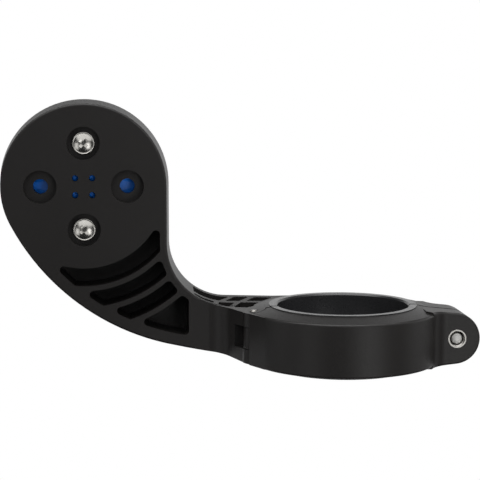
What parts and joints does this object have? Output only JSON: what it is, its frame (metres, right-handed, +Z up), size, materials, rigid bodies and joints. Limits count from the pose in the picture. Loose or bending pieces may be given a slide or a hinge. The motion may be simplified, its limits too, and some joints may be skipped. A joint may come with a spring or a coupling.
{
  "type": "bike computer mount",
  "caption": "Out-front handlebar mount: hinged bar clamp, curved ribbed arm and a round head with a quarter turn socket for a cycle computer.",
  "frame": {"origin": "centre of the clamp's bore, where the handlebar's axis passes", "axes": "+Y along the handlebar to the rider's left, +X forwards towards the head, +Z up towards the computer"},
  "size_m": [0.1153, 0.0643, 0.046],
  "materials": {
    "moulded_black": "fine moulded satin",
    "grip_liner": "soft matt",
    "blue_plastic": "moulded satin",
    "bright_steel": "plated, bright",
    "dark_steel": "turned, dull"
  },
  "bodies": {
    "arm": {"mount_arm": "moulded_black", "quarter_turn_insert": "blue_plastic", "insert_screws": "bright_steel", "hinge_pin": "dark_steel", "upper_liner": "grip_liner"},
    "jaw": {"clamp_jaw": "moulded_black", "jaw_bush": "dark_steel", "lower_liner": "grip_liner"},
    "clamp_screw": {"clamp_screw": "bright_steel"}
  },
  "joints": [
    {"name": "jaw_hinge", "type": "hinge", "parent": "arm", "child": "jaw", "pos_m": [0.0219, 0, -0.0022], "axis": [0, -1, 0], "range_deg": [0, 65]},
    {"name": "clamp_screw_travel", "type": "slide", "parent": "arm", "child": "clamp_screw", "axis": [0, 0, 1], "range_m": [0, 0.012]}
  ],
  "couplings": [
    {"joint": "clamp_screw_travel", "follows": "jaw_hinge", "m_per_rad": 0.0098}
  ]
}
